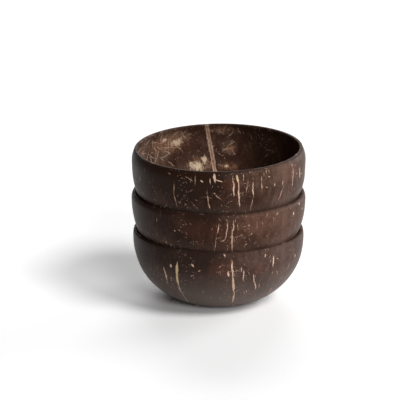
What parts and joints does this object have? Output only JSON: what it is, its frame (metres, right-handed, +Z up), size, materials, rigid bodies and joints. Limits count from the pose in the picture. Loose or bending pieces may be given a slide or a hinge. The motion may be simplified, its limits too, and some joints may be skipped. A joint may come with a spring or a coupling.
{
  "type": "nested coconut shell bowls",
  "caption": "Coconut shell bowls nested in a stack, each a half shell with a rounded rim and a flat ground base; the upper bowls lift out.",
  "frame": {"origin": "middle of the flat ground on the bottom bowl's base", "axes": "+Z up along the stack's axis, +Y away from the viewer, +X to the viewer's right"},
  "size_m": [0.1354, 0.1354, 0.1233],
  "materials": {
    "shell_bottom": "satin, ground and oiled coconut shell, grey brown",
    "shell_middle": "satin, ground and oiled coconut shell, reddish brown",
    "shell_top": "satin, ground and oiled coconut shell, dark brown"
  },
  "bodies": {
    "bottom_bowl": {"bottom_bowl": "shell_bottom"},
    "middle_bowl": {"middle_bowl": "shell_middle"},
    "top_bowl": {"top_bowl": "shell_top"}
  },
  "joints": [
    {"name": "middle_lift", "type": "slide", "parent": "bottom_bowl", "child": "middle_bowl", "axis": [0, 0, 1], "range_m": [0, 0.06]},
    {"name": "top_lift", "type": "slide", "parent": "middle_bowl", "child": "top_bowl", "axis": [0, 0, 1], "range_m": [0, 0.06]}
  ]
}
